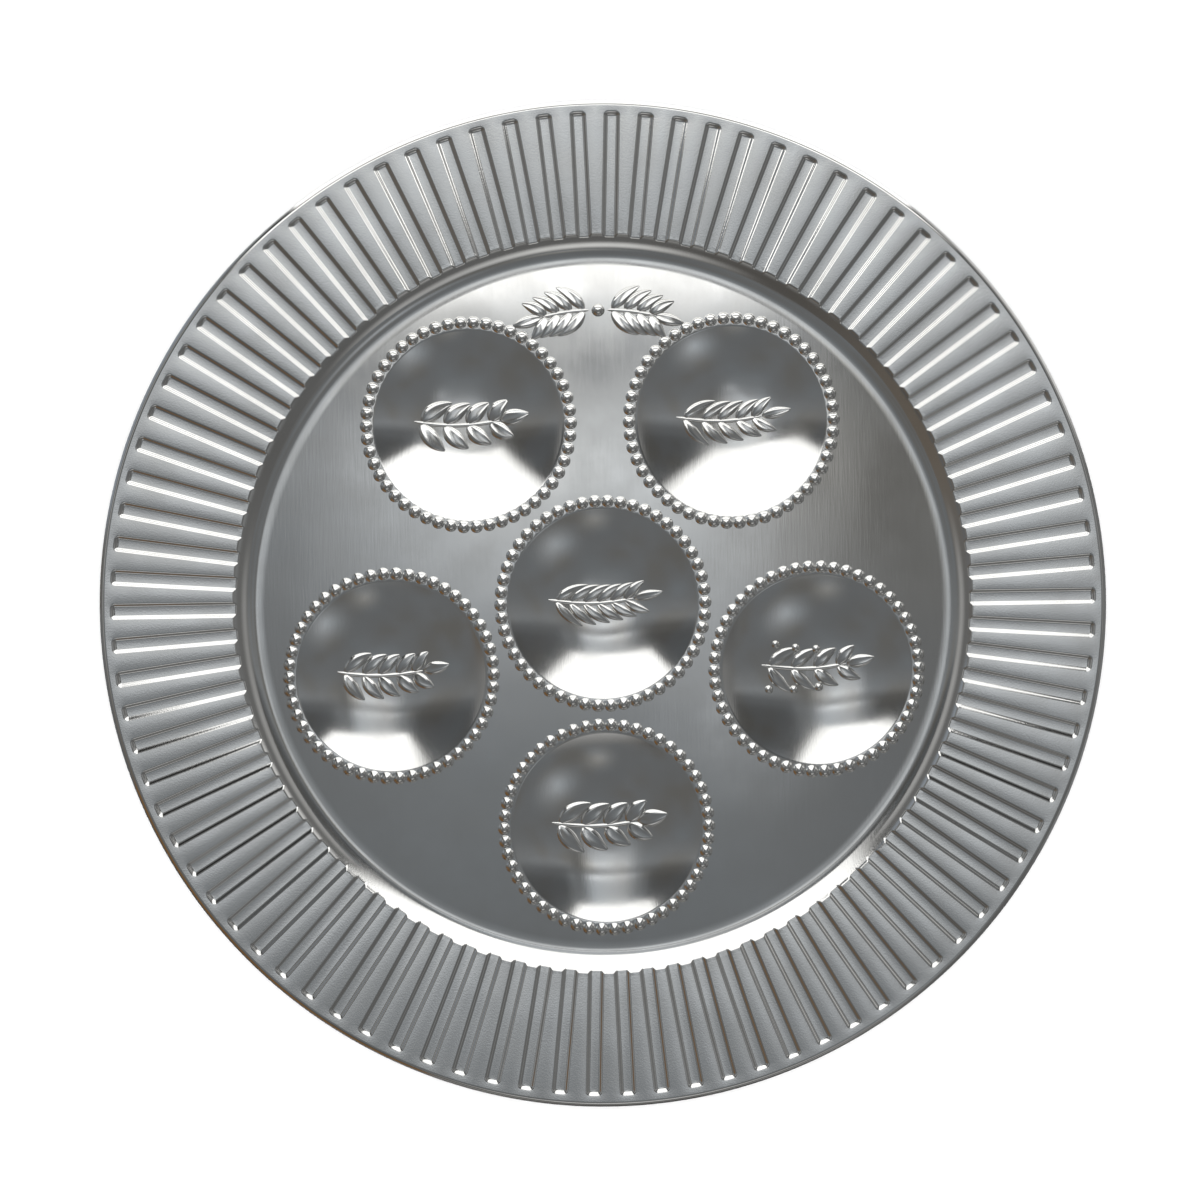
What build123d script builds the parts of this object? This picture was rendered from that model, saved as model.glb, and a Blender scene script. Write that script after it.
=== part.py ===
"""Seder plate: a round plate pressed from bright metal sheet.

A rolled edge, a sloping rim with radial flutes, a hollow wall down to a flat well, and in the well six
shallow dishes, each inside a ring of pressed beads: one in the middle and five round it.

Every zone of the pressing is one solid of sheet thickness, and neighbours meet face to face along the
forming lines. Millimetres, +Z up. The origin is the plate's centre, on the surface that the dishes stand on.
"""

import os
from math import cos, pi, radians, sin, tan

from build123d import *

# Sheet
SHEET = 0.6  # thickness of the pressed sheet

# Dishes
DISH_DIAMETER = 57.2  # across the bowl, inside its beads
DISH_DEPTH = 3.6  # from the well's floor down to the bowl's flat
DISH_FLAT_DIAMETER = 6.0  # flat in the middle of the bowl, which the plate stands on
MIDDLE_DISH = "bitter_herbs"
OUTER_DISHES = ("shank_bone", "egg", "greens", "lettuce", "charoset")  # going round
FIRST_DISH_ANGLE = 54.0  # degrees from +X to the first outer dish

# Bead rings
BEAD_DIAMETER = 3.7
BEAD_HEIGHT = 1.45  # above the well's floor
BEAD_GAP = 0.15  # least gap between two beads of a ring
BEAD_MARGIN = 0.25  # plain sheet on each side of the beads

# Well
RING_SPACING = 1.5  # sheet between the middle bead ring and each outer one
FLOOR_MARGIN = 2.7  # from the outer bead rings to the wall
WALL_RADIUS = 11.5  # hollow bend that makes the wall
WALL_ANGLE = 41.0  # degrees from level, at the wall's top
WALL_RISE = 3.1  # from the well's floor to the rim's inner corner
WALL_SEAM_ANGLE = 30.0  # degrees from level, where the wall's zone ends and the rim's begins

# Rim
RIM_WIDTH = 37.9  # along the slope, from its inner corner to the rolled edge
RIM_SLOPE = 5.0  # degrees up, going outwards
SHOULDER_RADIUS = 0.8  # round bend between wall and rim
FLUTE_WIDTH = 4.4  # at the rim's upper face
FLUTE_DEPTH = 0.6
FLUTE_FLANK_ANGLE = 40.0  # degrees from the rim's face
FLUTE_CORNER_RADIUS = 1.2  # at the flute's outer end
FLUTE_LAND = 3.3  # least plain rim between two flutes, at the rim's inner corner
FLUTE_END_LAND = 1.85  # plain rim between a flute's outer end and the rolled edge

# Rolled edge
CURL_RADIUS = 1.6  # outside of the roll
CURL_TURN = 250.0  # degrees that the sheet is rolled through

# Overlap that lets a cutting block pass clear of a face
CLEARANCE = 0.5

# Heights of the sheet's upper face
dish_top = SHEET
floor_top = dish_top + DISH_DEPTH
floor_bottom = floor_top - SHEET
rim_top = floor_top + WALL_RISE

# Radii of the zones, from the dish outwards
dish_radius = DISH_DIAMETER / 2
bead_circle = dish_radius + BEAD_MARGIN + BEAD_DIAMETER / 2
ring_radius = bead_circle + BEAD_DIAMETER / 2 + BEAD_MARGIN
dish_circle = 2 * ring_radius + RING_SPACING
floor_reach = dish_circle + ring_radius
floor_seam = floor_reach + FLOOR_MARGIN / 2
wall_foot = floor_reach + FLOOR_MARGIN
slope = radians(RIM_SLOPE)

# Points of the sheet's upper face, as (radius, height)
floor_seam_point = (floor_seam, floor_top)
wall_foot_point = (wall_foot, floor_top)
seam_turn = radians(WALL_SEAM_ANGLE)
wall_seam_point = (wall_foot + WALL_RADIUS * sin(seam_turn), floor_top + WALL_RADIUS * (1 - cos(seam_turn)))
top_turn = radians(WALL_ANGLE)
bend_rise = WALL_RADIUS * (1 - cos(top_turn))
rim_inner = wall_foot + WALL_RADIUS * sin(top_turn) + (WALL_RISE - bend_rise) / tan(top_turn)
rim_point = (rim_inner, rim_top)
rim_end_point = (rim_inner + RIM_WIDTH * cos(slope), rim_top + RIM_WIDTH * sin(slope))

# Repeats: as many as fit side by side
bead_count = int(2 * pi * bead_circle / (BEAD_DIAMETER + BEAD_GAP))
flute_count = int(2 * pi * rim_inner / (FLUTE_WIDTH + FLUTE_LAND))


def spin(section):
    """A section drawn in (radius, height), turned once round the plate's axis."""
    return revolve(Plane.XZ * section, Axis.Z)


def sheet_section(upper_line):
    """The sheet under a line that runs outwards along its upper face."""
    return make_face(offset(upper_line, SHEET, side=Side.RIGHT, closed=True).edges())


def dish():
    """A shallow bowl with a flat foot, cut upright where it meets its bead ring."""
    flat = DISH_FLAT_DIAMETER / 2
    foot = Line((0, dish_top), (flat, dish_top))
    bowl = TangentArc((flat, dish_top), (dish_radius, floor_top), tangent=(1, 0))
    inside = Pos(dish_radius / 2, 0) * Rectangle(dish_radius, 4 * floor_top)
    return spin(sheet_section(Curve() + [foot, bowl]) & inside)


def bead_ring():
    """A flat ring of sheet with a row of hollow pressed beads."""
    base = BEAD_DIAMETER / 2
    ball_radius = (base**2 + BEAD_HEIGHT**2) / (2 * BEAD_HEIGHT)
    ball_height = floor_top + BEAD_HEIGHT - ball_radius
    strip = Pos(0, 0, floor_bottom) * extrude(Circle(ring_radius) - Circle(dish_radius), SHEET)
    over_strip = extrude(Circle(2 * ball_radius), 2 * BEAD_HEIGHT)
    bead = Pos(0, 0, ball_height) * Sphere(ball_radius) & Pos(0, 0, floor_top - SHEET / 2) * over_strip
    hollow = Pos(0, 0, ball_height) * Sphere(ball_radius - SHEET)
    places = PolarLocations(bead_circle, bead_count)
    ring = strip + [place * bead for place in places]
    return ring - [place * hollow for place in places]


def well_floor():
    """The flat disc of the well, open where the bead rings are."""
    disc = Pos(0, 0, floor_bottom) * extrude(Circle(floor_seam), SHEET)
    opening = Pos(0, 0, floor_bottom) * extrude(Circle(ring_radius), SHEET)
    return disc - [place * opening for place in dish_places.values()]


def well_wall():
    """The wall bent up from the well's floor."""
    foot = Line(floor_seam_point, wall_foot_point)
    bend = JernArc(wall_foot_point, (1, 0), WALL_RADIUS, WALL_SEAM_ANGLE)
    return spin(sheet_section(Curve() + [foot, bend]))


def flute_block(top, bottom, growth):
    """A block along one flute, from one height over the rim's face to another, widened by growth."""
    run = 1 / tan(radians(FLUTE_FLANK_ANGLE))
    spread = growth + top * run
    inner_end = wall_seam_point[0] - rim_inner - spread
    outer_end = RIM_WIDTH - FLUTE_END_LAND + spread
    width = FLUTE_WIDTH + 2 * spread
    outline = Pos((inner_end + outer_end) / 2, 0) * Rectangle(outer_end - inner_end, width)
    outline = fillet(outline.vertices().group_by(Axis.X)[-1], FLUTE_CORNER_RADIUS + spread)
    block = extrude(Pos(0, 0, top) * outline, bottom - top, taper=90 - FLUTE_FLANK_ANGLE)
    return Pos(rim_inner, 0, rim_top) * Rot(0, -RIM_SLOPE, 0) * block


def fluted_rim():
    """The sloping rim with the wall's top, and flutes pressed down through both faces of the sheet."""
    tangent = (cos(seam_turn), sin(seam_turn))
    wall_top = JernArc(wall_seam_point, tangent, WALL_RADIUS, WALL_ANGLE - WALL_SEAM_ANGLE)
    shoulder = FilletPolyline(wall_top @ 1, rim_point, rim_end_point, radius=SHOULDER_RADIUS)
    line = Wire([*wall_top.edges(), *shoulder.edges()])
    plain = spin(sheet_section(line))
    middle = offset(line, SHEET / 2, side=Side.RIGHT, closed=False)
    start, end = middle @ 0, middle @ 1
    below = Polyline((end.X, end.Y), (end.X, 0), (start.X, 0), (start.X, start.Y))
    under_sheet = spin(make_face([*middle.edges(), *below.edges()]))
    offset_growth = SHEET / sin(radians(FLUTE_FLANK_ANGLE))
    ridge = flute_block(-SHEET / 2, -FLUTE_DEPTH - SHEET, offset_growth) & under_sheet
    groove = flute_block(CLEARANCE, -FLUTE_DEPTH, 0)
    turns = [Rot(0, 0, 360 / flute_count * i) for i in range(flute_count)]
    return plain + [turn * ridge for turn in turns] - [turn * groove for turn in turns]


def rolled_edge():
    """The sheet's outer edge, rolled over and under."""
    return spin(sheet_section(JernArc(rim_end_point, (cos(slope), sin(slope)), CURL_RADIUS, -CURL_TURN)))


outer_places = PolarLocations(dish_circle, len(OUTER_DISHES), FIRST_DISH_ANGLE, rotate=False)
dish_places = dict(zip(OUTER_DISHES, outer_places))
dish_places[MIDDLE_DISH] = Pos(0, 0, 0)

parts = {
    "rolled_edge": rolled_edge(),
    "fluted_rim": fluted_rim(),
    "well_wall": well_wall(),
    "well_floor": well_floor(),
}
one_dish = dish()
one_ring = bead_ring()
for name, place in dish_places.items():
    parts["dish_" + name] = place * one_dish
    parts["bead_ring_" + name] = place * one_ring

os.makedirs("parts", exist_ok=True)
for name, part in parts.items():
    export_step(part, f"parts/{name}.step")
print("beads in a ring:", bead_count, "flutes:", flute_count)
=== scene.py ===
"""Seder plate pressed from bright nickel-plated steel, dressed over its CAD frame.

Every zone of the pressing is a closed sheet with drawn radii, worked out in millimetres from the sizes below
and placed by the frame. The dishes and the well's head carry plain leaf sprigs in relief.
"""

from math import cos, pi, radians, sin, tan

import bpy
import numpy as np
from mathutils.geometry import delaunay_2d_cdt
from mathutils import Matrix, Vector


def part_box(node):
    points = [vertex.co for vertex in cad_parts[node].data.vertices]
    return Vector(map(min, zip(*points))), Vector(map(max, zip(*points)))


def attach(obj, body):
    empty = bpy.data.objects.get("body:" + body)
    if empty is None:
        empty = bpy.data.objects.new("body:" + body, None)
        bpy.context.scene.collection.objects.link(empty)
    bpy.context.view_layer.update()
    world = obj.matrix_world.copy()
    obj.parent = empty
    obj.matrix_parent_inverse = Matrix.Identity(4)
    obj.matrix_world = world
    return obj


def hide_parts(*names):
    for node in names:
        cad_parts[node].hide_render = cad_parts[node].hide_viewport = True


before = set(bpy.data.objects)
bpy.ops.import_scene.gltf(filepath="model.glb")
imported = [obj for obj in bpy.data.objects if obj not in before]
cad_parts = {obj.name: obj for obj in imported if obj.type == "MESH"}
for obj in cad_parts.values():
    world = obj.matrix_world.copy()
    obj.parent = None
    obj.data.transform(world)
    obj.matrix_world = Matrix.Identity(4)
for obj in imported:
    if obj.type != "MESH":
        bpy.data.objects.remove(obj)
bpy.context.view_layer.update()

MM = 0.001

# Sheet
SHEET = 0.6

# Dishes and their bead rings
DISH_NAMES = ("shank_bone", "egg", "greens", "lettuce", "charoset", "bitter_herbs")
DISH_DIAMETER = 57.2
DISH_DEPTH = 3.6
DISH_FLAT_DIAMETER = 6.0
LIP_BLEND = 0.1  # height over which the bowl's edge is rounded
BEAD_DIAMETER = 3.7
BEAD_HEIGHT = 0.9
BEAD_COUNT = 50
BEAD_MARGIN = 0.25
BEAD_BLEND = 0.06  # height over which a bead's foot is rounded

# Well and wall
RING_SPACING = 1.5
FLOOR_MARGIN = 2.7
WALL_RADIUS = 11.5
WALL_ANGLE = 41.0
WALL_RISE = 3.1
WALL_SEAM_ANGLE = 30.0
FOOT_LEAN = 3.0  # degrees that the sheet curves up, gently, before the wall's bend

# Rim and rolled edge
RIM_WIDTH = 37.9
RIM_SLOPE = 5.0
SHOULDER_RADIUS = 0.8
FLUTE_COUNT = 90
FLUTE_WIDTH = 4.4
FLUTE_DEPTH = 0.6
FLUTE_FLANK_ANGLE = 40.0
FLUTE_CORNER_RADIUS = 1.2
FLUTE_END_LAND = 1.85
FLUTE_FOOT_BLEND = 0.26  # height over which a flute's bottom corner is rounded
FLUTE_EDGE_BLEND = 0.26  # the same at its upper edge
CROWN_SLOPE = 0.027  # lean, at their edges, of the crowned lands and of the hollow flute bottoms
CURL_RADIUS = 1.6
CURL_TURN = 250.0

# Relief sprigs: shares are of a length, a width or the stem
BAND_POINTS = 9  # points across a leaf or stem
SEAT = 0.15  # how far a relief's edge lies under the sheet's face
VEIN_WIDTH = 0.16  # share of a leaf's half width
VEIN_DEPTH = 0.45  # share of a leaf's height
LEAF_HEIGHT = 0.9
LEAF_SKEW = 0.8  # moves the widest place towards the stem
LEAF_SIDE_POWER = 0.85
LEAF_TOP_POWER = 0.6
LEAF_CURL = 0.6  # share of the spread by which a leaf turns back
FIRST_LEAF = 0.1
LEAF_SPAN = 0.78
LEAF_SHRINK = 0.3
TIP_LEAF = 0.8
STEM_WIDTH = 1.4
STEM_HEIGHT = 0.5
STEM_TAPER = 6.0  # how many times the taper at each end goes into the stem
BERRY_RISE = 0.42  # share of a berry's diameter
BERRY_REACH = 0.62
BERRY_SPREAD = 26.0  # degrees beyond its leaf
SPRIG_START = (-17.0, 1.5)
SPRIG_LENGTH = 27.0
SPRIG_BEND = 24.0
# One kind of leaf for each dish: leaf length, leaf width, pairs, spread in degrees, berry diameter.
SPRIG_LEAVES = {
    "shank_bone": (12.0, 3.6, 5, 52.0, 0.0),
    "egg": (12.0, 5.2, 4, 58.0, 0.0),
    "greens": (11.0, 4.2, 5, 62.0, 0.0),
    "lettuce": (12.5, 5.4, 4, 56.0, 0.0),
    "charoset": (11.5, 4.0, 4, 54.0, 2.6),
    "bitter_herbs": (12.0, 3.2, 6, 48.0, 0.0),
}
HEAD_PLACE = (0.0, 88.0)
HEAD_GAP = 2.5  # from the middle to each stem
HEAD_LENGTH = 15.0
HEAD_BEND = 16.0
HEAD_BERRY = 4.0
HEAD_LEAVES = (12.0, 4.0, 4, 58.0, 0.0)

# Mesh steps: rows run outwards, columns run round
ROUND_STEPS = 720
CELL_STEPS = 6  # columns along one side of a bead's cell
BEAD_CIRCLES = (0.35, 0.7, 1.05, 1.35, 1.6, 1.75, 1.85, 1.92)
FOOT_CIRCLES = (1.0, 2.0)
BOWL_ROWS = 16
LIP_ROWS = 7
LIP_ZONE = 1.5
WALL_FOOT_ROWS = 10
WALL_BEND_ROWS = 14
SHOULDER_ROWS = 18
SHOULDER_ZONE = 1.2
RIM_ROWS = 8
FLUTE_END_ROWS = 16
FLUTE_END_ZONE = 1.6
CURL_STEPS = 40
STEM_STEPS = 40
LEAF_STEPS = 15
BERRY_STEPS = 11
PROBE = 0.01  # half the step over which a slope is taken
WELD_DIGITS = 4
FLOOR_TOLERANCE = 1e-5

# Heights of the sheet's upper face
dish_top = SHEET
floor_top = dish_top + DISH_DEPTH
rim_top = floor_top + WALL_RISE

# Radii of the zones
dish_radius = DISH_DIAMETER / 2
bead_circle = dish_radius + BEAD_MARGIN + BEAD_DIAMETER / 2
ring_radius = bead_circle + BEAD_DIAMETER / 2 + BEAD_MARGIN
floor_reach = 3 * ring_radius + RING_SPACING
floor_seam = floor_reach + FLOOR_MARGIN / 2
wall_foot = floor_reach + FLOOR_MARGIN
wall_turn = radians(WALL_ANGLE)
bend_rise = WALL_RADIUS * (1 - cos(wall_turn))
bend_end = wall_foot + WALL_RADIUS * sin(wall_turn)
wall_seam = wall_foot + WALL_RADIUS * sin(radians(WALL_SEAM_ANGLE))
foot_turn = radians(FOOT_LEAN)
half_lean = tan(foot_turn) / 2
bend_across = sin(wall_turn) - sin(foot_turn)
bend_up = cos(foot_turn) - cos(wall_turn)
eased_radius = (bend_rise - (bend_end - floor_seam) * half_lean) / (bend_up - bend_across * half_lean)
bend_start = bend_end - eased_radius * bend_across
rim_inner = bend_end + (WALL_RISE - bend_rise) / tan(wall_turn)
rim_slope = radians(RIM_SLOPE)
rim_end = (rim_inner + RIM_WIDTH * cos(rim_slope), rim_top + RIM_WIDTH * sin(rim_slope))

# Flutes
flank_slope = tan(radians(FLUTE_FLANK_ANGLE))
flank_run = FLUTE_DEPTH / flank_slope
flute_pitch = 2 * pi / FLUTE_COUNT


def linear(hex_colour):
    """An sRGB hex colour as linear RGBA."""
    parts = [int(hex_colour[i : i + 2], 16) / 255 for i in (0, 2, 4)]
    return tuple(p / 12.92 if p <= 0.04045 else ((p + 0.055) / 1.055) ** 2.4 for p in parts) + (1.0,)


def add_node(tree, kind, links=None, **settings):
    """A node with its settings, and its inputs set to values or linked from other nodes' outputs."""
    node = tree.nodes.new(kind)
    for key, value in settings.items():
        setattr(node, key, value)
    for key, value in (links or {}).items():
        if isinstance(value, bpy.types.NodeSocket):
            tree.links.new(value, node.inputs[key])
        else:
            node.inputs[key].default_value = value
    return node


def new_material(name):
    """A material with an empty node tree, and the tree."""
    material = bpy.data.materials.new(name)
    material.use_nodes = True
    material.node_tree.nodes.clear()
    return material, material.node_tree


def set_ramp(node, stops):
    """Gives a colour ramp its stops, as (place, grey or linear colour)."""
    ramp = node.color_ramp
    ramp.interpolation = "EASE"
    while len(ramp.elements) > 1:
        ramp.elements.remove(ramp.elements[-1])
    for i, (place, value) in enumerate(stops):
        stop = ramp.elements[0] if i == 0 else ramp.elements.new(place)
        stop.position = place
        stop.color = (*value, 1.0) if isinstance(value, tuple) else (value, value, value, 1.0)
    return node


def smooth_min(a, b, blend):
    """The lower of two heights, rounded where they are within blend of each other."""
    overlap = np.maximum(blend - np.abs(a - b), 0.0)
    return np.minimum(a, b) - overlap**2 / (4 * blend)


def smooth_max(a, b, blend):
    """The higher of two heights, rounded in the same way."""
    return -smooth_min(-a, -b, blend)


def dish_height(x, y):
    """Upper face of a bowl and of the flat sheet round it, from the bowl's centre."""
    flat = DISH_FLAT_DIAMETER / 2
    run = dish_radius - flat
    bowl_radius = (run**2 + DISH_DEPTH**2) / (2 * DISH_DEPTH)
    along = np.clip(np.hypot(x, y) - flat, 0.0, bowl_radius / 2)
    bowl = dish_top + bowl_radius - np.sqrt(bowl_radius**2 - along**2)
    return smooth_min(bowl, floor_top, LIP_BLEND)


def bead_height(offset):
    """A bead over flat sheet: the cap of a ball."""
    base = BEAD_DIAMETER / 2
    ball = (base**2 + BEAD_HEIGHT**2) / (2 * BEAD_HEIGHT)
    return BEAD_HEIGHT - ball + np.sqrt(np.maximum(ball**2 - offset**2, 0.0))


def ring_height(x, y):
    """Upper face of a bead ring, with the bowl's lip inside it."""
    pitch = 2 * pi / BEAD_COUNT
    turn = np.arctan2(y, x)
    nearest = np.round(turn / pitch) * pitch
    offset = np.hypot(x - bead_circle * np.cos(nearest), y - bead_circle * np.sin(nearest))
    return smooth_max(dish_height(x, y), floor_top + bead_height(offset), BEAD_BLEND)


def floor_height(x, y):
    """Upper face of the level floor."""
    return np.full_like(x, floor_top)


def plain_height(radius):
    """Upper face of the hollow wall, the shoulder and the rim without its flutes."""
    bend = SHOULDER_RADIUS * tan((wall_turn - rim_slope) / 2)
    start = (rim_inner - bend * cos(wall_turn), rim_top - bend * sin(wall_turn))
    centre = (start[0] + SHOULDER_RADIUS * sin(wall_turn), start[1] - SHOULDER_RADIUS * cos(wall_turn))
    lean = np.clip(radius - floor_seam, 0.0, bend_start - floor_seam)
    out = np.clip(radius - bend_start, 0.0, bend_end - bend_start) + eased_radius * sin(foot_turn)
    bent = eased_radius * cos(foot_turn) - np.sqrt(eased_radius**2 - out**2)
    hollow = floor_top + lean**2 * half_lean / (bend_start - floor_seam) + bent
    steep = rim_top + (radius - rim_inner) * tan(wall_turn)
    reach = np.clip(radius - centre[0], -SHOULDER_RADIUS, SHOULDER_RADIUS)
    shoulder = centre[1] + np.sqrt(SHOULDER_RADIUS**2 - reach**2)
    rim = rim_top + (radius - rim_inner) * tan(rim_slope)
    zones = [radius < bend_end, radius < start[0], radius < rim_inner + bend * cos(rim_slope)]
    return np.select(zones, [hollow, steep, shoulder], rim)


def rim_height(x, y):
    """Upper face of the wall's top, the shoulder and the fluted rim."""
    radius = np.hypot(x, y)
    plain = plain_height(radius)
    rim = rim_top + (radius - rim_inner) * tan(rim_slope)
    turn = np.arctan2(y, x)
    local = turn - np.round(turn / flute_pitch) * flute_pitch
    along = (radius * np.cos(local) - rim_inner) / cos(rim_slope)
    across = np.abs(radius * np.sin(local))
    past_end = along - (RIM_WIDTH - FLUTE_END_LAND - FLUTE_CORNER_RADIUS)
    past_side = across - (FLUTE_WIDTH / 2 - FLUTE_CORNER_RADIUS)
    outside = np.hypot(np.maximum(past_end, 0.0), np.maximum(past_side, 0.0))
    distance = outside + np.minimum(np.maximum(past_end, past_side), 0.0) - FLUTE_CORNER_RADIUS
    flank = distance * flank_slope
    groove = rim + smooth_max(np.full_like(flank, -FLUTE_DEPTH), flank, FLUTE_FOOT_BLEND) / cos(rim_slope)
    in_flute = np.clip(-distance / flank_run, 0.0, 1.0)
    half_land = radius * flute_pitch / 2 - FLUTE_WIDTH / 2
    half_bottom = FLUTE_WIDTH / 2 - flank_run
    to_middle = np.clip(1 - distance / half_land, 0.0, 1.0)
    to_foot = np.clip(1 + (distance + flank_run) / half_bottom, 0.0, 1.0)
    crown = in_flute * half_bottom * to_foot**2 - (1 - in_flute) * half_land * to_middle**2
    drawn = CROWN_SLOPE / 2 * crown * np.clip(along, 0.0, 1.0)
    return smooth_min(plain, groove, FLUTE_EDGE_BLEND) + drawn


def face_normals(height, x, y):
    """Normals of a height field."""
    slope_x = (height(x + PROBE, y) - height(x - PROBE, y)) / (2 * PROBE)
    slope_y = (height(x, y + PROBE) - height(x, y - PROBE)) / (2 * PROBE)
    normals = np.stack([-slope_x, -slope_y, np.ones_like(slope_x)], axis=-1)
    return normals / np.linalg.norm(normals, axis=-1, keepdims=True)


def grid_faces(rows, columns, closed):
    """Quads of a grid whose rows run outwards and whose columns run round."""
    last = columns if closed else columns - 1
    return [
        (i * columns + j, (i + 1) * columns + j, (i + 1) * columns + k, i * columns + k)
        for i in range(rows - 1)
        for j in range(last)
        for k in [(j + 1) % columns]
    ]


def weld(points, faces):
    """Joins points that lie on each other."""
    rounded = np.round(points, WELD_DIGITS)
    _, first, inverse = np.unique(rounded, axis=0, return_index=True, return_inverse=True)
    inverse = inverse.ravel()
    return points[first], [tuple(inverse[i] for i in face) for face in faces]


def close_sheet(points, normals, faces):
    """The sheet under an upper face: points, faces and a normal for each face corner."""
    count = len(points)
    under = [tuple(i + count for i in reversed(face)) for face in faces]
    edges = {edge for face in faces for edge in zip(face, face[1:] + face[:1])}
    rims = [(b, a, a + count, b + count) for a, b in edges if (b, a) not in edges]
    rims.sort()
    shell = np.concatenate([points, points - SHEET * normals])
    both = np.concatenate([normals, -normals])
    corners = [i for face in faces + under for i in face]
    cut = shell[np.array(rims)]
    across = np.cross(cut[:, 1] - cut[:, 0], cut[:, 3] - cut[:, 0])
    across /= np.linalg.norm(across, axis=1, keepdims=True)
    return shell, faces + under + rims, np.concatenate([both[corners], np.repeat(across, 4, axis=0)])


def turned(profile, normals):
    """A profile of (radius, height) with its upper normals, turned round the plate's axis."""
    turns = np.linspace(0, 2 * pi, ROUND_STEPS, endpoint=False)
    spread = [
        np.stack([np.outer(p[:, 0], np.cos(turns)), np.outer(p[:, 0], np.sin(turns)),
                  np.repeat(p[:, 1:], ROUND_STEPS, axis=1)], axis=-1).reshape(-1, 3)
        for p in (profile, normals)
    ]
    return spread[0], spread[1], grid_faces(len(profile), ROUND_STEPS, closed=True)


def rolled_edge():
    """The sheet's edge, rolled over and under."""
    start = pi / 2 + rim_slope
    centre = (rim_end[0] + CURL_RADIUS * sin(rim_slope), rim_end[1] - CURL_RADIUS * cos(rim_slope))
    angles = start - np.radians(np.linspace(0, CURL_TURN, CURL_STEPS))
    normals = np.stack([np.cos(angles), np.sin(angles)], axis=1)
    return close_sheet(*turned(np.array(centre) + CURL_RADIUS * normals, normals))


def hollow_wall():
    """The wall bent up from the well's floor."""
    foot = np.linspace(floor_seam, bend_start, WALL_FOOT_ROWS, endpoint=False)
    radii = np.concatenate([foot, np.linspace(bend_start, wall_seam, WALL_BEND_ROWS)])
    lean = (plain_height(radii + PROBE) - plain_height(radii - PROBE)) / (2 * PROBE)
    normals = np.stack([-lean, np.ones_like(lean)], axis=1) / np.hypot(lean, 1.0)[:, None]
    return close_sheet(*turned(np.stack([radii, plain_height(radii)], axis=1), normals))


def fluted_rim():
    """The wall's top and the rim: each flute has its own columns, and the lands widen outwards."""
    half = FLUTE_WIDTH / 2
    rounding = FLUTE_EDGE_BLEND / flank_slope
    foot = half - flank_run
    side = np.array([foot - rounding, foot, half - flank_run / 2, half, half + rounding])
    across = np.concatenate([-side[::-1], [0.0], side])
    shoulder_end = rim_inner + SHOULDER_ZONE
    flute_end = rim_end[0] - FLUTE_END_LAND - flank_run - FLUTE_END_ZONE
    rows = np.concatenate([
        np.linspace(wall_seam, shoulder_end, SHOULDER_ROWS, endpoint=False),
        np.linspace(shoulder_end, flute_end, RIM_ROWS, endpoint=False),
        np.linspace(flute_end, rim_end[0], FLUTE_END_ROWS)])
    turn = np.arcsin(across[None, :] / rows[:, None])
    turn = np.concatenate([turn, np.full((len(rows), 1), pi / FLUTE_COUNT)], axis=1)
    starts = np.arange(FLUTE_COUNT) * 2 * pi / FLUTE_COUNT
    turn = (starts[None, :, None] + turn[:, None, :]).reshape(len(rows), -1)
    x = rows[:, None] * np.cos(turn)
    y = rows[:, None] * np.sin(turn)
    points = np.stack([x, y, rim_height(x, y)], axis=-1).reshape(-1, 3)
    normals = face_normals(rim_height, x, y).reshape(-1, 3)
    return close_sheet(points, normals, grid_faces(len(rows), turn.shape[1], closed=True))


def bowl():
    """A dish: a flat foot and a shallow round bowl up to its lip."""
    flat = DISH_FLAT_DIAMETER / 2
    lip = dish_radius - LIP_ZONE
    radii = np.concatenate([
        FOOT_CIRCLES,
        np.linspace(flat, lip, BOWL_ROWS, endpoint=False),
        np.linspace(lip, dish_radius, LIP_ROWS)])
    columns = BEAD_COUNT * CELL_STEPS
    turns = np.linspace(0, 2 * pi, columns, endpoint=False)
    x = np.append(np.outer(radii, np.cos(turns)).ravel(), 0.0)
    y = np.append(np.outer(radii, np.sin(turns)).ravel(), 0.0)
    points = np.stack([x, y, dish_height(x, y)], axis=-1)
    faces = grid_faces(len(radii), columns, closed=True)
    faces += [(len(x) - 1, j, (j + 1) % columns) for j in range(columns)]
    return close_sheet(points, face_normals(dish_height, x, y), faces)


def bead_ring():
    """A ring of hollow beads: one cell per bead, from its crown out to the cell's four sides."""
    half_u = ring_radius - bead_circle
    half_v = pi * bead_circle / BEAD_COUNT
    side = np.linspace(-1, 1, CELL_STEPS, endpoint=False)
    ones = np.ones(CELL_STEPS)
    edge_u = half_u * np.concatenate([ones, -side, -ones, side])
    edge_v = half_v * np.concatenate([side, ones, -side, -ones])
    angles = np.arctan2(edge_v, edge_u)
    u = np.concatenate([np.outer(BEAD_CIRCLES, np.cos(angles)).ravel(), edge_u, [0.0]])
    v = np.concatenate([np.outer(BEAD_CIRCLES, np.sin(angles)).ravel(), edge_v, [0.0]])
    columns = len(angles)
    cell = grid_faces(len(BEAD_CIRCLES) + 1, columns, closed=True)
    cell += [(len(u) - 1, j, (j + 1) % columns) for j in range(columns)]
    turn = np.arange(BEAD_COUNT)[:, None] * 2 * pi / BEAD_COUNT + v[None, :] / bead_circle
    x = ((bead_circle + u) * np.cos(turn)).ravel()
    y = ((bead_circle + u) * np.sin(turn)).ravel()
    faces = [tuple(i + k * len(u) for i in face) for k in range(BEAD_COUNT) for face in cell]
    points, faces = weld(np.stack([x, y, ring_height(x, y)], axis=-1), faces)
    return close_sheet(points, face_normals(ring_height, points[:, 0], points[:, 1]), faces)


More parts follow.
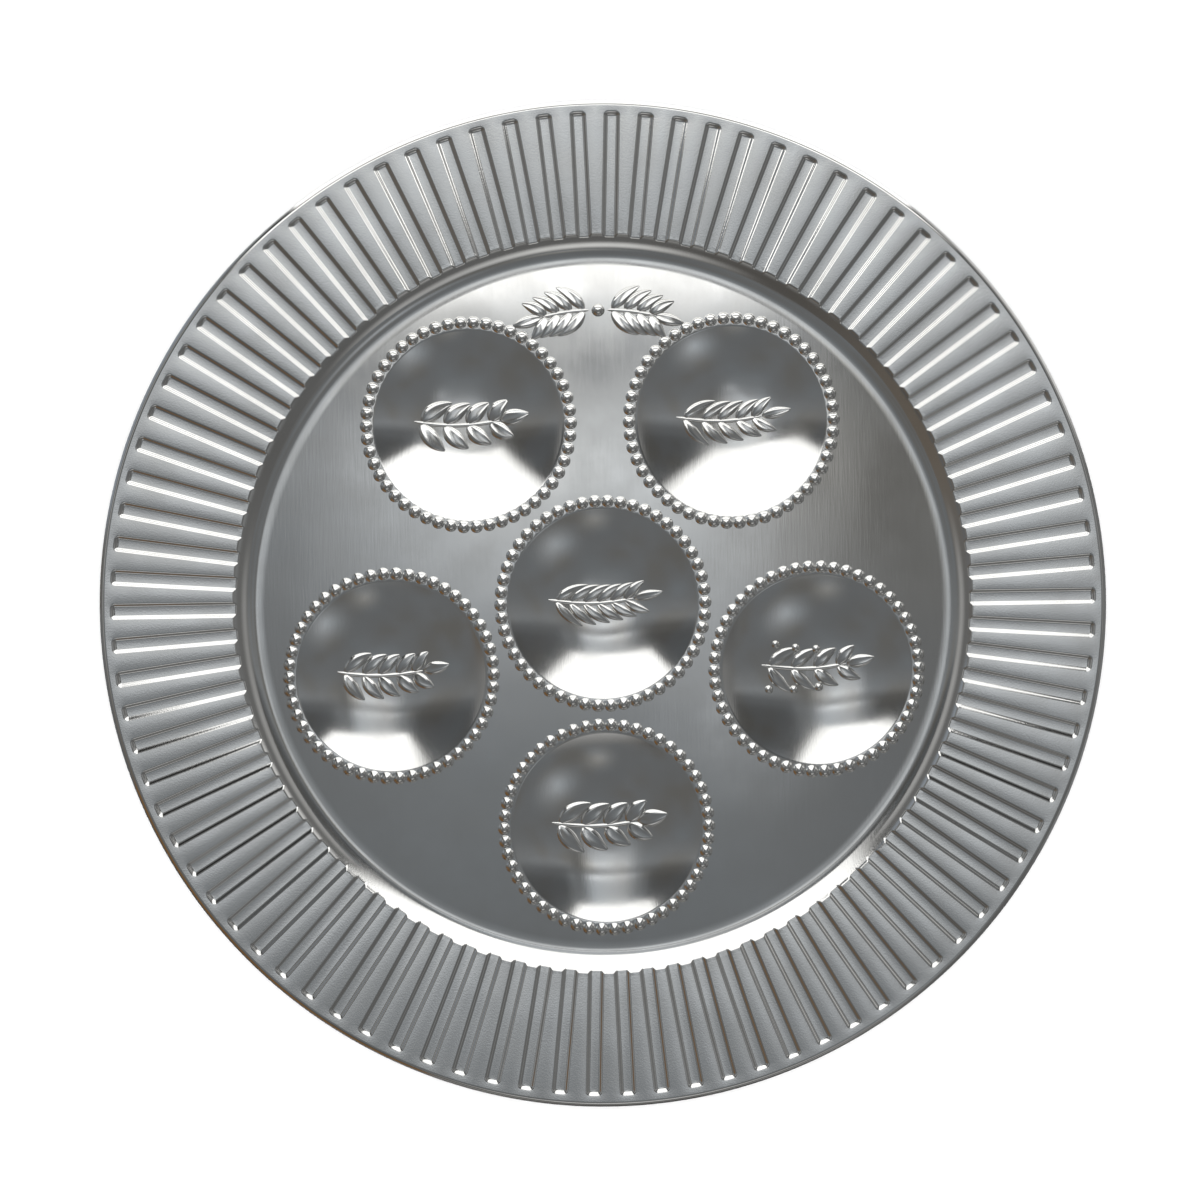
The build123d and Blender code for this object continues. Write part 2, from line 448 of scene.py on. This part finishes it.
def well_floor(centres):
    """The flat sheet between the bead rings and the wall."""
    loops = [(floor_seam, (0.0, 0.0), ROUND_STEPS)]
    loops += [(ring_radius, centre, BEAD_COUNT * CELL_STEPS) for centre in centres]
    outline = []
    edges = []
    for radius, centre, steps in loops:
        first = len(outline)
        turns = np.linspace(0, 2 * pi, steps, endpoint=False)
        outline += [(centre[0] + radius * cos(t), centre[1] + radius * sin(t)) for t in turns]
        edges += [(first + i, first + (i + 1) % steps) for i in range(steps)]
    inside_only = 1
    flat, _, faces, *_ = delaunay_2d_cdt(outline, edges, [], inside_only, FLOOR_TOLERANCE)
    points = np.array([(p[0], p[1], floor_top) for p in flat])
    middles = points[np.array(faces)].mean(axis=1)
    gaps = [np.hypot(middles[:, 0] - x, middles[:, 1] - y) - ring_radius for x, y in centres]
    solid = np.min(gaps, axis=0) > 0
    normals = np.tile((0.0, 0.0, 1.0), (len(points), 1))
    return close_sheet(points, normals, [tuple(face) for face, kept in zip(faces, solid) if kept])


def relief_band(path, half_widths, heights, vein, ground):
    """A rounded lump along a path, closed underneath, with an optional vein sunk along its middle."""
    along = np.gradient(path, axis=0)
    along /= np.linalg.norm(along, axis=1, keepdims=True)
    side = np.stack([-along[:, 1], along[:, 0]], axis=1)
    turn = np.linspace(-pi / 2, pi / 2, BAND_POINTS)
    crown = np.cos(turn) - vein * np.exp(-((np.sin(turn) / VEIN_WIDTH) ** 2))
    inner = slice(1, -1)
    spread = half_widths[inner, None] * np.sin(turn)
    plan = path[inner, None, :] + spread[..., None] * side[inner, None, :]
    plan = np.concatenate([plan.reshape(-1, 2), path[[0, -1]]])
    lift = np.append((heights[inner, None] * crown).ravel(), [0.0, 0.0])
    points = np.column_stack([plan, ground(plan[:, 0], plan[:, 1]) + lift - SEAT])
    rows = len(path) - 2
    last = BAND_POINTS - 1
    faces = grid_faces(rows, BAND_POINTS, closed=False)
    tips = ((0, rows * BAND_POINTS), ((rows - 1) * BAND_POINTS, rows * BAND_POINTS + 1))
    for row, tip in tips:
        fan = [(tip, row + j, row + j + 1) for j in range(last)] + [(tip, row + last, row)]
        faces += fan if tip == tips[0][1] else [face[::-1] for face in fan]
    for i in range(rows - 1):
        near = i * BAND_POINTS
        far = (i + 1) * BAND_POINTS
        faces.append((near, near + last, far + last, far))
    return points, faces


def arc_path(start, heading, length, bend, steps):
    """Points along a curve that turns evenly by bend, from a start point and heading in degrees."""
    headings = np.radians(heading + bend * (np.arange(steps - 1) + 0.5) / (steps - 1))
    moves = np.stack([np.cos(headings), np.sin(headings)], axis=1) * length / (steps - 1)
    return np.concatenate([[start], start + np.cumsum(moves, axis=0)])


def leaf(start, heading, length, width, bend, ground):
    """A pointed leaf with a sunk vein."""
    path = arc_path(np.array(start), heading, length, bend, LEAF_STEPS)
    share = np.linspace(0, 1, LEAF_STEPS)
    half_widths = width / 2 * np.sin(pi * share**LEAF_SKEW) ** LEAF_SIDE_POWER
    heights = LEAF_HEIGHT * np.sin(pi * share**LEAF_SKEW) ** LEAF_TOP_POWER
    return relief_band(path, half_widths, heights, VEIN_DEPTH, ground)


def berry(centre, diameter, ground):
    """A round berry."""
    share = (1 - np.cos(np.linspace(0, pi, BERRY_STEPS))) / 2
    path = np.stack([centre[0] + (share - 0.5) * diameter, np.full(BERRY_STEPS, centre[1])], axis=1)
    profile = 2 * np.sqrt(share * (1 - share))
    return relief_band(path, diameter / 2 * profile, BERRY_RISE * diameter * profile, 0.0, ground)


def stem(path, ground):
    """A stem that tapers at both ends."""
    share = np.linspace(0, 1, len(path))
    taper = np.minimum(1.0, STEM_TAPER * np.minimum(share, 1 - share)) ** 0.5
    return relief_band(path, STEM_WIDTH / 2 * taper, STEM_HEIGHT * taper, 0.0, ground)


def sprig(start, heading, length, bend, leaves, ground):
    """A stem with leaves in pairs, a leaf at its tip, and berries where they have a size."""
    leaf_length, leaf_width, pairs, spread, fruit = leaves
    path = arc_path(np.array(start), heading, length, bend, STEM_STEPS)
    lumps = [stem(path, ground)]
    for i in range(pairs):
        share = FIRST_LEAF + LEAF_SPAN * i / (pairs - 1)
        place = path[round(share * (len(path) - 1))]
        turn = heading + bend * share
        size = leaf_length * (1 - LEAF_SHRINK * share)
        for side in (1, -1):
            curl = -side * LEAF_CURL * spread
            lumps.append(leaf(place, turn + side * spread, size, leaf_width, curl, ground))
            if fruit and i < pairs - 1:
                away = radians(turn + side * (spread + BERRY_SPREAD))
                spot = place + BERRY_REACH * size * np.array([cos(away), sin(away)])
                lumps.append(berry(spot, fruit, ground))
    lumps.append(leaf(path[-2], heading + bend, TIP_LEAF * leaf_length, leaf_width, 0.0, ground))
    return lumps


def join_lumps(lumps):
    """The points and faces of several lumps as one."""
    points = []
    faces = []
    for lump_points, lump_faces in lumps:
        first = sum(len(p) for p in points)
        points.append(lump_points)
        faces += [tuple(i + first for i in face) for face in lump_faces]
    return np.concatenate(points), faces


def add_piece(name, material, points, faces, corner_normals=None, at=(0.0, 0.0), node=None):
    """A plate piece from millimetre points, riding on the plate and standing for a CAD node."""
    mesh = bpy.data.meshes.new(name)
    mesh.from_pydata(((np.asarray(points) + (*at, 0.0)) * MM).tolist(), [], faces)
    mesh.shade_smooth()
    if corner_normals is not None:
        mesh.normals_split_custom_set(corner_normals.tolist())
    mesh.materials.append(material)
    piece = bpy.data.objects.new(name, mesh)
    bpy.context.scene.collection.objects.link(piece)
    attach(piece, "root")
    if node:
        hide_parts(node)


# Plate finish: patterns as repeats per millimetre, depths in millimetres
GRAINS_PER_MM = 2.0
CLOUDS_PER_MM = 0.07
WAVES_PER_MM = 0.04
WAVE_DEPTH = 0.08
DULL = 0.1  # roughness of the dull and of the bright clouds
BRIGHT = 0.06
STREAK = 0.04  # roughness that the grain adds


def nickel_plate(name, streaks, grain_depth):
    """Bright nickel over rolled steel sheet, pressed and left unpolished.

    A soft mirror: the rolled grain drags reflections a little, pressing leaves shallow waves in them, and the
    plate is a touch duller in cloudy patches.
    """
    material, tree = new_material(name)
    place = add_node(tree, "ShaderNodeTexCoord").outputs["Object"]
    stretch = add_node(tree, "ShaderNodeMapping", {"Vector": place, "Scale": streaks})
    # Rolled grain about 0.5 mm across, drawn coarser than the real 0.1 mm so that it shows.
    grain = add_node(tree, "ShaderNodeTexNoise", {
        "Vector": stretch.outputs[0], "Scale": GRAINS_PER_MM / MM, "Detail": 3.0})
    # Cloudy patches about 14 mm across.
    cloud = add_node(tree, "ShaderNodeTexNoise", {
        "Vector": place, "Scale": CLOUDS_PER_MM / MM, "Detail": 4.0})
    # Press waves about 25 mm long.
    wave = add_node(tree, "ShaderNodeTexNoise", {
        "Vector": place, "Scale": WAVES_PER_MM / MM, "Detail": 1.0})
    tone = add_node(tree, "ShaderNodeMix", {
        "Factor": cloud.outputs["Fac"], "A": linear("DAD9D5"), "B": linear("EEEEEC")}, data_type="RGBA")
    haze = add_node(tree, "ShaderNodeMapRange", {
        "Value": cloud.outputs["Fac"], "From Min": 0.35, "From Max": 0.65, "To Min": DULL, "To Max": BRIGHT})
    streak = add_node(tree, "ShaderNodeMath", {0: grain.outputs["Fac"], 1: STREAK, 2: haze.outputs[0]},
                      operation="MULTIPLY_ADD")
    waves = add_node(tree, "ShaderNodeBump", {
        "Height": wave.outputs["Fac"], "Distance": WAVE_DEPTH * MM, "Strength": 1.0})
    fine = add_node(tree, "ShaderNodeBump", {
        "Height": grain.outputs["Fac"], "Distance": grain_depth * MM, "Strength": 1.0,
        "Normal": waves.outputs[0]})
    shader = add_node(tree, "ShaderNodeBsdfPrincipled", {
        "Base Color": tone.outputs["Result"], "Metallic": 1.0, "Roughness": streak.outputs[0],
        "Normal": fine.outputs[0]})
    add_node(tree, "ShaderNodeOutputMaterial", {"Surface": shader.outputs[0]})
    return material


# The well keeps the sheet's rolled grain. On the rim the press has broken it up: even and a little deeper.
plate_metal = nickel_plate("nickel_plated_steel", (1.0, 0.06, 1.0), 0.004)
rim_metal = nickel_plate("nickel_plated_steel_rim", (1.0, 1.0, 1.0), 0.008)

centres = {}
for name in DISH_NAMES:
    low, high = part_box("dish_" + name)
    centres[name] = ((low.x + high.x) / 2 / MM, (low.y + high.y) / 2 / MM)

add_piece("curled_edge", plate_metal, *rolled_edge(), node="rolled_edge")
add_piece("pressed_rim", rim_metal, *fluted_rim(), node="fluted_rim")
add_piece("hollow_wall", plate_metal, *hollow_wall(), node="well_wall")
add_piece("well_sheet", plate_metal, *well_floor(list(centres.values())), node="well_floor")
bowl_sheet = bowl()
bead_sheet = bead_ring()
for name, centre in centres.items():
    add_piece("bowl_" + name, plate_metal, *bowl_sheet, at=centre, node="dish_" + name)
    add_piece("beads_" + name, plate_metal, *bead_sheet, at=centre, node="bead_ring_" + name)

for name, leaves in SPRIG_LEAVES.items():
    lumps = sprig(SPRIG_START, -SPRIG_BEND / 2, SPRIG_LENGTH, SPRIG_BEND, leaves, dish_height)
    add_piece("sprig_" + name, plate_metal, *join_lumps(lumps), at=centres[name])

head_lumps = [berry(HEAD_PLACE, HEAD_BERRY, floor_height)]
for heading, bend in ((0.0, -HEAD_BEND), (180.0, HEAD_BEND)):
    start = (HEAD_PLACE[0] + HEAD_GAP * cos(radians(heading)), HEAD_PLACE[1])
    head_lumps += sprig(start, heading, HEAD_LENGTH, bend, HEAD_LEAVES, floor_height)
add_piece("head_spray", plate_metal, *join_lumps(head_lumps))


def add_stage(name, corners, material, shown=True):
    """A stage surface from its corners in millimetres; one that isn't shown only lights the metal."""
    mesh = bpy.data.meshes.new(name)
    points = [tuple(c * MM for c in corner) for corner in corners]
    mesh.from_pydata(points, [], [tuple(range(len(corners)))])
    mesh.materials.append(material)
    surface = bpy.data.objects.new(name, mesh)
    bpy.context.scene.collection.objects.link(surface)
    if not shown:
        surface.visible_camera = False
        surface.visible_diffuse = False
        surface.visible_shadow = False
    return surface


# Camera: straight above, turned by the plate's small turn in the picture.
CAMERA_HEIGHT = 780.0
CAMERA_PLACE = (-0.85, 1.05)
CAMERA_TURN = -0.95
CAMERA_LENS = 77.6
CAMERA_SENSOR = 36.0
CAMERA_NEAR = 50.0
camera = bpy.data.cameras.new("camera")
camera.sensor_width = CAMERA_SENSOR
camera.lens = CAMERA_LENS
camera.clip_start = CAMERA_NEAR * MM
camera_holder = bpy.data.objects.new("camera", camera)
camera_holder.location = (CAMERA_PLACE[0] * MM, CAMERA_PLACE[1] * MM, CAMERA_HEIGHT * MM)
camera_holder.rotation_euler = (0.0, 0.0, radians(CAMERA_TURN))
bpy.context.scene.collection.objects.link(camera_holder)
bpy.context.scene.camera = camera_holder
bpy.context.scene.view_settings.view_transform = "Standard"

# Floor: matt white paper, its fibres drawn about 5 mm across so that they show.
FIBRES_PER_MM = 0.2
FLOOR_REACH = 4000.0
paper, tree = new_material("white_paper")
fibre = add_node(tree, "ShaderNodeTexNoise", {"Scale": FIBRES_PER_MM / MM, "Detail": 3.0})
sheen = add_node(tree, "ShaderNodeMapRange", {"Value": fibre.outputs["Fac"], "To Min": 0.8, "To Max": 0.95})
shader = add_node(tree, "ShaderNodeBsdfPrincipled", {
    "Base Color": linear("F4F4F4"), "Roughness": sheen.outputs[0], "Specular IOR Level": 0.1})
add_node(tree, "ShaderNodeOutputMaterial", {"Surface": shader.outputs[0]})
floor_corners = [(x * FLOOR_REACH, y * FLOOR_REACH, 0.0) for x, y in ((-1, -1), (1, -1), (1, 1), (-1, 1))]
floor = add_stage("floor", floor_corners, paper)
floor.visible_glossy = False

# Wide overhead light for the floor alone.
LAMP_LIGHT = 3.6
LAMP_SPREAD = 60.0
lamp = bpy.data.lights.new("floor_light", "SUN")
lamp.energy = LAMP_LIGHT
lamp.angle = radians(LAMP_SPREAD)
lamp_holder = bpy.data.objects.new("floor_light", lamp)
lamp_holder.visible_glossy = False
bpy.context.scene.collection.objects.link(lamp_holder)

# Upright softbox hung behind the plate, its right side leaning in: the white in the dishes and on the near
# wall. Corners are (x, z).
PANEL_LIGHT = 1.5
PANEL_Y = 190.0
PANEL_CORNERS = ((-213.0, 140.0), (210.0, 140.0), (150.0, 840.0), (-220.0, 840.0))
PANEL_FADE = 50.0  # width over which the softbox's sides fade
cloth, tree = new_material("softbox_white")
place = add_node(tree, "ShaderNodeTexCoord").outputs["Object"]
axes = add_node(tree, "ShaderNodeSeparateXYZ", {"Vector": place})
strength = PANEL_LIGHT
left_side = (PANEL_CORNERS[0], PANEL_CORNERS[3], 1.0)
right_side = (PANEL_CORNERS[1], PANEL_CORNERS[2], -1.0)
for (low_x, low_z), (high_x, high_z), inwards in (left_side, right_side):
    lean = (high_x - low_x) / (high_z - low_z)
    side = (low_x - lean * low_z) * MM
    across = add_node(tree, "ShaderNodeMath", {0: axes.outputs["Z"], 1: -lean, 2: axes.outputs["X"]},
                      operation="MULTIPLY_ADD")
    fade = add_node(tree, "ShaderNodeMapRange", {
        "Value": across.outputs[0], "From Min": side, "From Max": side + inwards * PANEL_FADE * MM},
        interpolation_type="SMOOTHSTEP")
    dimmed = add_node(tree, "ShaderNodeMath", {0: strength, 1: fade.outputs[0]}, operation="MULTIPLY")
    strength = dimmed.outputs[0]
glow = add_node(tree, "ShaderNodeEmission", {"Color": linear("FFFFFF"), "Strength": strength})
add_node(tree, "ShaderNodeOutputMaterial", {"Surface": glow.outputs[0]})
add_stage("softbox", [(x, PANEL_Y, z) for x, z in PANEL_CORNERS], cloth, shown=False)

# Low white card farther back: the white on the flutes' flanks. Corners are (x, z).
CARD_Y = 300.0
CARD_CORNERS = ((-226.0, -400.0), (240.0, -400.0), (240.0, 190.0), (-226.0, 190.0))
card, tree = new_material("low_card_white")
glow = add_node(tree, "ShaderNodeEmission", {"Color": linear("FFFFFF"), "Strength": PANEL_LIGHT})
add_node(tree, "ShaderNodeOutputMaterial", {"Surface": glow.outputs[0]})
add_stage("low_card", [(x, CARD_Y, z) for x, z in CARD_CORNERS], card, shown=False)

# Low brown board at the front left: the warm lines on the flanks that face it.
BOARD_LEFT = (-300.0, -110.0)
BOARD_RIGHT = (-135.0, -350.0)
BOARD_HEIGHT = 125.0
wood, tree = new_material("brown_board")
glow = add_node(tree, "ShaderNodeEmission", {"Color": linear("795934"), "Strength": 1.0})
add_node(tree, "ShaderNodeOutputMaterial", {"Surface": glow.outputs[0]})
board_foot = [(*BOARD_LEFT, 0.0), (*BOARD_RIGHT, 0.0)]
board_top = [(*BOARD_RIGHT, BOARD_HEIGHT), (*BOARD_LEFT, BOARD_HEIGHT)]
add_stage("brown_board", board_foot + board_top, wood, shown=False)

# Ceiling far above: brightest a little behind the plate's middle, fading to all sides, with dark flags beside
# the softbox's top. Places are where each tone stands in the level floor of the well, in millimetres.
CEILING_HEIGHT = 4000.0
CEILING_REACH = 2400.0
CEILING_SCALE = 1 + CEILING_HEIGHT / CAMERA_HEIGHT
CEILING_DARK = 0.155
CEILING_BACK = ((-300, 0.14), (-110, 0.155), (-60, 0.185), (-32, 0.235), (-22, 0.275), (-10, 0.36), (0, 0.46),
                (13, 0.55), (26, 0.6), (45, 0.92), (61, 0.48), (70, 0.29), (81, 0.24), (86, 0.95),
                (98, 1.0), (106, 0.55), (140, 0.48), (300, 0.56))
CEILING_SIDE = ((-200, 0.1), (-130, 0.1), (-95, 0.15), (-80, 0.4), (-50, 0.85), (0, 1.0), (35, 0.92),
                (48, 0.78), (66, 0.34), (80, 0.0), (98, 0.0), (115, 0.12), (200, 0.12))
FLAG_BACK = ((55, 0.0), (95, 1.0), (260, 1.0), (350, 0.0))
FLAG_SIDE = ((-160, 1.0), (-95, 0.0), (95, 0.0), (150, 1.0))
FLAG_SHARE = 0.55
CEILING_RAMP = 400.0  # half the width that a ramp of tones covers
CLOUDINESS_PER_MM = 0.0012
CEILING_TINT = ((0.3, (0.88, 0.865, 0.83)), (0.5, (0.958, 1.0, 1.05)), (0.7, (1.01, 1.09, 1.17)))
# Paler and darker patches, each with its place, size and light.
PATCHES = (((175.0, -215.0), 120.0, 0.3), ((24.0, -320.0), 90.0, 0.24), ((40.0, -34.0), 36.0, 0.26),
           ((17.0, -6.0), 32.0, 0.12), ((-14.0, 10.0), 24.0, 0.135), ((-5.0, -14.0), 24.0, -0.085))
plaster, tree = new_material("ceiling_card")
place = add_node(tree, "ShaderNodeTexCoord").outputs["Object"]
axes = add_node(tree, "ShaderNodeSeparateXYZ", {"Vector": place})
ramp_edge = CEILING_RAMP * CEILING_SCALE * MM
ramps = []
for axis, stops in (("Y", CEILING_BACK), ("X", CEILING_SIDE), ("Y", FLAG_BACK), ("X", FLAG_SIDE)):
    share = add_node(tree, "ShaderNodeMapRange", {
        "Value": axes.outputs[axis], "From Min": -ramp_edge, "From Max": ramp_edge})
    ramp = add_node(tree, "ShaderNodeValToRGB", {"Fac": share.outputs[0]})
    set_ramp(ramp, [((p + CEILING_RAMP) / (2 * CEILING_RAMP), v) for p, v in stops])
    ramps.append(ramp.outputs[0])
over = add_node(tree, "ShaderNodeMath", {0: ramps[0], 1: CEILING_DARK}, operation="SUBTRACT")
total = add_node(tree, "ShaderNodeMath", {0: over.outputs[0], 1: ramps[1], 2: CEILING_DARK},
                 operation="MULTIPLY_ADD")
flag = add_node(tree, "ShaderNodeMath", {0: ramps[2], 1: ramps[3]}, operation="MULTIPLY")
shade = add_node(tree, "ShaderNodeMath", {0: flag.outputs[0], 1: -FLAG_SHARE, 2: 1.0},
                 operation="MULTIPLY_ADD")
total = add_node(tree, "ShaderNodeMath", {0: total.outputs[0], 1: shade.outputs[0]}, operation="MULTIPLY")
for middle, size, light in PATCHES:
    spot = add_node(tree, "ShaderNodeMapping", {
        "Vector": place, "Scale": (1 / (size * CEILING_SCALE * MM),) * 3,
        "Location": (-middle[0] / size, -middle[1] / size, -CEILING_HEIGHT / (size * CEILING_SCALE))})
    fade = add_node(tree, "ShaderNodeTexGradient", {"Vector": spot.outputs[0]},
                    gradient_type="QUADRATIC_SPHERE")
    total = add_node(tree, "ShaderNodeMath", {0: fade.outputs["Fac"], 1: light, 2: total.outputs[0]},
                     operation="MULTIPLY_ADD")
# Uneven tone in patches about 0.8 m across, from brownish to bluish.
unevenness = add_node(tree, "ShaderNodeTexNoise", {
    "Vector": place, "Scale": CLOUDINESS_PER_MM / MM, "Detail": 2.0})
tint = set_ramp(add_node(tree, "ShaderNodeValToRGB", {"Fac": unevenness.outputs["Fac"]}), CEILING_TINT)
glow = add_node(tree, "ShaderNodeEmission", {"Color": tint.outputs[0], "Strength": total.outputs[0]})
add_node(tree, "ShaderNodeOutputMaterial", {"Surface": glow.outputs[0]})
ceiling_corners = [(x * CEILING_REACH, y * CEILING_REACH, CEILING_HEIGHT)
                   for x, y in ((-1, -1), (-1, 1), (1, 1), (1, -1))]
add_stage("ceiling", ceiling_corners, plaster, shown=False)

# Room round the plate: pale to the camera; in the metal's reflections a white back wall, dim sides, a light
# strip half way up, and a low light at the front that gives the flanks facing it a pale middle.
# Places run round the horizon, 0 left, 0.25 front, 0.5 right, 0.75 back, or up from it, 0 to 1.
LOW_SIDES = ((0.0, (0.16, 0.16, 0.165)), (0.05, (0.125, 0.127, 0.13)), (0.095, 0.085),
             (0.13, (0.1, 0.098, 0.095)), (0.155, (0.17, 0.169, 0.167)), (0.2, (0.16, 0.159, 0.157)),
             (0.25, (0.09, 0.089, 0.088)), (0.38, (0.125, 0.126, 0.127)), (0.4, (0.125, 0.126, 0.127)),
             (0.43, (0.22, 0.225, 0.23)), (0.54, (0.17, 0.172, 0.175)), (0.57, 0.7),
             (0.91, (0.28, 0.31, 0.35)), (0.96, (0.28, 0.31, 0.35)), (0.985, (0.14, 0.135, 0.13)))
UPPER_SIDES = ((0.0, 0.15), (0.07, (0.14, 0.12, 0.1)), (0.17, (0.09, 0.085, 0.08)), (0.25, 0.13),
               (0.42, 0.12), (0.5, 0.15))
SIDE_HEIGHTS = ((0.3, 0.0), (0.5, 1.0))
STRIP = ((0.0, 0.2), (0.05, 0.0), (0.17, 0.0), (0.25, 0.6), (0.333, 0.28), (0.4, 0.0), (0.46, 0.0),
         (0.5, 0.14), (0.57, 0.22), (0.62, 0.22), (0.65, 0.0), (0.86, 0.0), (0.89, 0.25), (0.95, 0.25),
         (1.0, 0.2))
STRIP_HEIGHTS = ((0.57, 0.0), (0.76, 1.0), (0.88, 0.0))
FRONT = ((0.15, 0.0), (0.2, 0.12), (0.27, 0.13), (0.32, 0.28), (0.37, 0.0))
FRONT_HEIGHTS = ((0.07, 0.0), (0.13, 1.0), (0.27, 1.0), (0.42, 0.0))
BACK_WALL = ((0.61, 0.0), (0.675, 1.0), (0.85, 1.0), (0.905, 0.0))
BACK_HEIGHTS = ((0.0, 0.4), (0.05, 0.3), (0.08, 0.025), (0.5, 0.03), (0.65, 0.06), (0.78, 0.25), (0.88, 0.56))
world = bpy.data.worlds.new("room")
bpy.context.scene.world = world
world.use_nodes = True
tree = world.node_tree
tree.nodes.clear()
direction = add_node(tree, "ShaderNodeTexCoord").outputs["Generated"]
height = add_node(tree, "ShaderNodeSeparateXYZ", {"Vector": direction}).outputs["Z"]
round_about = add_node(tree, "ShaderNodeTexGradient", {"Vector": direction}, gradient_type="RADIAL")
bearing = round_about.outputs["Fac"]
tones = {}
for part, along, stops in (
        ("low", bearing, LOW_SIDES), ("upper", bearing, UPPER_SIDES), ("rise", height, SIDE_HEIGHTS),
        ("strip", bearing, STRIP), ("strip_level", height, STRIP_HEIGHTS),
        ("front", bearing, FRONT), ("front_level", height, FRONT_HEIGHTS),
        ("behind", bearing, BACK_WALL), ("back", height, BACK_HEIGHTS)):
    tones[part] = set_ramp(add_node(tree, "ShaderNodeValToRGB", {"Fac": along}), stops).outputs[0]
sides = add_node(tree, "ShaderNodeMix", {"Factor": tones["rise"], "A": tones["low"], "B": tones["upper"]},
                 data_type="RGBA")
strip = add_node(tree, "ShaderNodeMath", {0: tones["strip"], 1: tones["strip_level"]}, operation="MULTIPLY")
lights = add_node(tree, "ShaderNodeMath", {0: tones["front"], 1: tones["front_level"], 2: strip.outputs[0]},
                  operation="MULTIPLY_ADD")
lit = add_node(tree, "ShaderNodeMix", {"Factor": 1.0, "A": sides.outputs["Result"], "B": lights.outputs[0]},
               data_type="RGBA", blend_type="ADD")
room = add_node(tree, "ShaderNodeMix", {
    "Factor": tones["behind"], "A": lit.outputs["Result"], "B": tones["back"]}, data_type="RGBA")
ray = add_node(tree, "ShaderNodeLightPath")
seen = add_node(tree, "ShaderNodeMix", {
    "Factor": ray.outputs["Is Camera Ray"], "A": room.outputs["Result"], "B": linear("FAFAFA")},
    data_type="RGBA")
background = add_node(tree, "ShaderNodeBackground", {"Color": seen.outputs["Result"], "Strength": 1.0})
add_node(tree, "ShaderNodeOutputWorld", {"Surface": background.outputs[0]})
